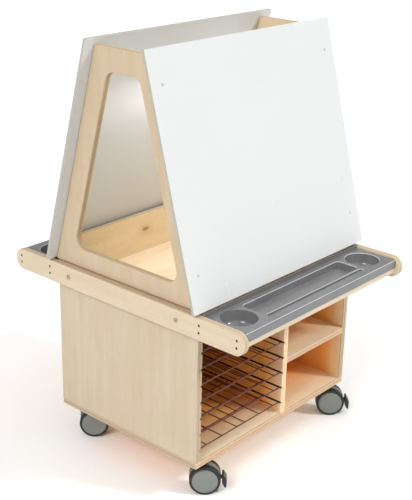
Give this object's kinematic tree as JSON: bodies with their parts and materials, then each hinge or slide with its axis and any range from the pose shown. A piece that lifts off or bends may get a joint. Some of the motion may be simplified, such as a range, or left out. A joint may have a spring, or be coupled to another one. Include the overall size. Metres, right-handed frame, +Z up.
{
  "type": "double-sided art easel",
  "caption": "Mobile double-sided A-frame art easel: white boards over a ply cabinet with wire drying racks, cubbies, moulded side trays and swivel castors.",
  "frame": {"origin": "centre of the footprint on the floor plane, under the middle of the cabinet", "axes": "+X to the right along the boards seen from the front, -Y towards the front, +Z up"},
  "size_m": [0.73, 0.842, 1.1801],
  "materials": {
    "birch_ply": "clear satin lacquer",
    "back_ply": "clear satin lacquer",
    "dry_wipe_board": "glossy laminate on board",
    "tray_plastic": "semi-gloss moulded",
    "coated_wire": "dip coated",
    "screw_black": "black oxide",
    "bolt_steel": "plated",
    "zinc_steel": "zinc plated",
    "castor_black": "satin moulded",
    "castor_grey": "satin moulded",
    "castor_tread": "matt"
  },
  "bodies": {
    "easel": {"cabinet_base_panel": "birch_ply", "cabinet_side_left": "birch_ply", "cabinet_side_right": "birch_ply", "cabinet_divider": "birch_ply", "cabinet_shelf": "birch_ply", "cabinet_top_panel": "birch_ply", "cabinet_back_panel": "back_ply", "end_rail_left": "birch_ply", "end_rail_right": "birch_ply", "tray_rail_front_outer": "birch_ply", "tray_rail_front_inner": "birch_ply", "tray_rail_rear_inner": "birch_ply", "tray_rail_rear_outer": "birch_ply", "end_frame_left": "birch_ply", "end_frame_right": "birch_ply", "board_front": "dry_wipe_board", "board_rear": "dry_wipe_board", "stretcher_front": "birch_ply", "stretcher_rear": "birch_ply", "board_screws": "screw_black", "rail_screws": "screw_black", "rail_bolts": "bolt_steel", "rail_bolt_nuts": "bolt_steel", "castor_plates": "zinc_steel", "castor_screws": "zinc_steel"},
    "tray_front": {"tray_front": "tray_plastic"},
    "tray_rear": {"tray_rear": "tray_plastic"},
    "drying_rack_1": {"drying_rack_1": "coated_wire"},
    "drying_rack_2": {"drying_rack_2": "coated_wire"},
    "drying_rack_3": {"drying_rack_3": "coated_wire"},
    "drying_rack_4": {"drying_rack_4": "coated_wire"},
    "drying_rack_5": {"drying_rack_5": "coated_wire"},
    "drying_rack_6": {"drying_rack_6": "coated_wire"},
    "drying_rack_7": {"drying_rack_7": "coated_wire"},
    "castor_front_left_fork": {"castor_front_left_body": "castor_grey", "castor_front_left_pedal_pin": "zinc_steel"},
    "castor_front_left_wheelset": {"castor_front_left_wheels": "castor_grey", "castor_front_left_tyres": "castor_tread", "castor_front_left_axle": "zinc_steel"},
    "castor_front_left_brake": {"castor_front_left_pedal": "castor_black"},
    "castor_front_right_fork": {"castor_front_right_body": "castor_grey", "castor_front_right_pedal_pin": "zinc_steel"},
    "castor_front_right_wheelset": {"castor_front_right_wheels": "castor_grey", "castor_front_right_tyres": "castor_tread", "castor_front_right_axle": "zinc_steel"},
    "castor_front_right_brake": {"castor_front_right_pedal": "castor_black"},
    "castor_rear_left_fork": {"castor_rear_left_body": "castor_grey"},
    "castor_rear_left_wheelset": {"castor_rear_left_wheels": "castor_grey", "castor_rear_left_tyres": "castor_tread", "castor_rear_left_axle": "zinc_steel"},
    "castor_rear_right_fork": {"castor_rear_right_body": "castor_grey"},
    "castor_rear_right_wheelset": {"castor_rear_right_wheels": "castor_grey", "castor_rear_right_tyres": "castor_tread", "castor_rear_right_axle": "zinc_steel"}
  },
  "joints": [
    {"name": "tray_front_lift", "type": "slide", "parent": "easel", "child": "tray_front", "axis": [0, 0, 1], "range_m": [0, 0.12]},
    {"name": "tray_rear_lift", "type": "slide", "parent": "easel", "child": "tray_rear", "axis": [0, 0, 1], "range_m": [0, 0.12]},
    {"name": "drying_rack_1_slide", "type": "slide", "parent": "easel", "child": "drying_rack_1", "axis": [0, -1, 0], "range_m": [0, 0.4]},
    {"name": "drying_rack_2_slide", "type": "slide", "parent": "easel", "child": "drying_rack_2", "axis": [0, -1, 0], "range_m": [0, 0.4]},
    {"name": "drying_rack_3_slide", "type": "slide", "parent": "easel", "child": "drying_rack_3", "axis": [0, -1, 0], "range_m": [0, 0.4]},
    {"name": "drying_rack_4_slide", "type": "slide", "parent": "easel", "child": "drying_rack_4", "axis": [0, -1, 0], "range_m": [0, 0.4]},
    {"name": "drying_rack_5_slide", "type": "slide", "parent": "easel", "child": "drying_rack_5", "axis": [0, -1, 0], "range_m": [0, 0.4]},
    {"name": "drying_rack_6_slide", "type": "slide", "parent": "easel", "child": "drying_rack_6", "axis": [0, -1, 0], "range_m": [0, 0.4]},
    {"name": "drying_rack_7_slide", "type": "slide", "parent": "easel", "child": "drying_rack_7", "axis": [0, -1, 0], "range_m": [0, 0.4]},
    {"name": "castor_front_left_swivel", "type": "hinge", "parent": "easel", "child": "castor_front_left_fork", "pos_m": [-0.288, -0.215, 0.088], "axis": [0, 0, 1], "continuous": true},
    {"name": "castor_front_left_roll", "type": "hinge", "parent": "castor_front_left_fork", "child": "castor_front_left_wheelset", "pos_m": [-0.26963, -0.23613, 0.0424], "axis": [0.7547, 0.6561, 0], "continuous": true},
    {"name": "castor_front_left_brake_pedal", "type": "hinge", "parent": "castor_front_left_fork", "child": "castor_front_left_brake", "pos_m": [-0.25257, -0.25575, 0.0504], "axis": [-0.7547, -0.6561, 0], "range_deg": [0, 12]},
    {"name": "castor_front_right_swivel", "type": "hinge", "parent": "easel", "child": "castor_front_right_fork", "pos_m": [0.288, -0.215, 0.088], "axis": [0, 0, 1], "continuous": true},
    {"name": "castor_front_right_roll", "type": "hinge", "parent": "castor_front_right_fork", "child": "castor_front_right_wheelset", "pos_m": [0.30637, -0.23613, 0.0424], "axis": [0.7547, 0.6561, 0], "continuous": true},
    {"name": "castor_front_right_brake_pedal", "type": "hinge", "parent": "castor_front_right_fork", "child": "castor_front_right_brake", "pos_m": [0.32343, -0.25575, 0.0504], "axis": [-0.7547, -0.6561, 0], "range_deg": [0, 12]},
    {"name": "castor_rear_left_swivel", "type": "hinge", "parent": "easel", "child": "castor_rear_left_fork", "pos_m": [-0.288, 0.215, 0.088], "axis": [0, 0, 1], "continuous": true},
    {"name": "castor_rear_left_roll", "type": "hinge", "parent": "castor_rear_left_fork", "child": "castor_rear_left_wheelset", "pos_m": [-0.26963, 0.19387, 0.0424], "axis": [0.7547, 0.6561, 0], "continuous": true},
    {"name": "castor_rear_right_swivel", "type": "hinge", "parent": "easel", "child": "castor_rear_right_fork", "pos_m": [0.288, 0.215, 0.088], "axis": [0, 0, 1], "continuous": true},
    {"name": "castor_rear_right_roll", "type": "hinge", "parent": "castor_rear_right_fork", "child": "castor_rear_right_wheelset", "pos_m": [0.30637, 0.19387, 0.0424], "axis": [0.7547, 0.6561, 0], "continuous": true}
  ]
}
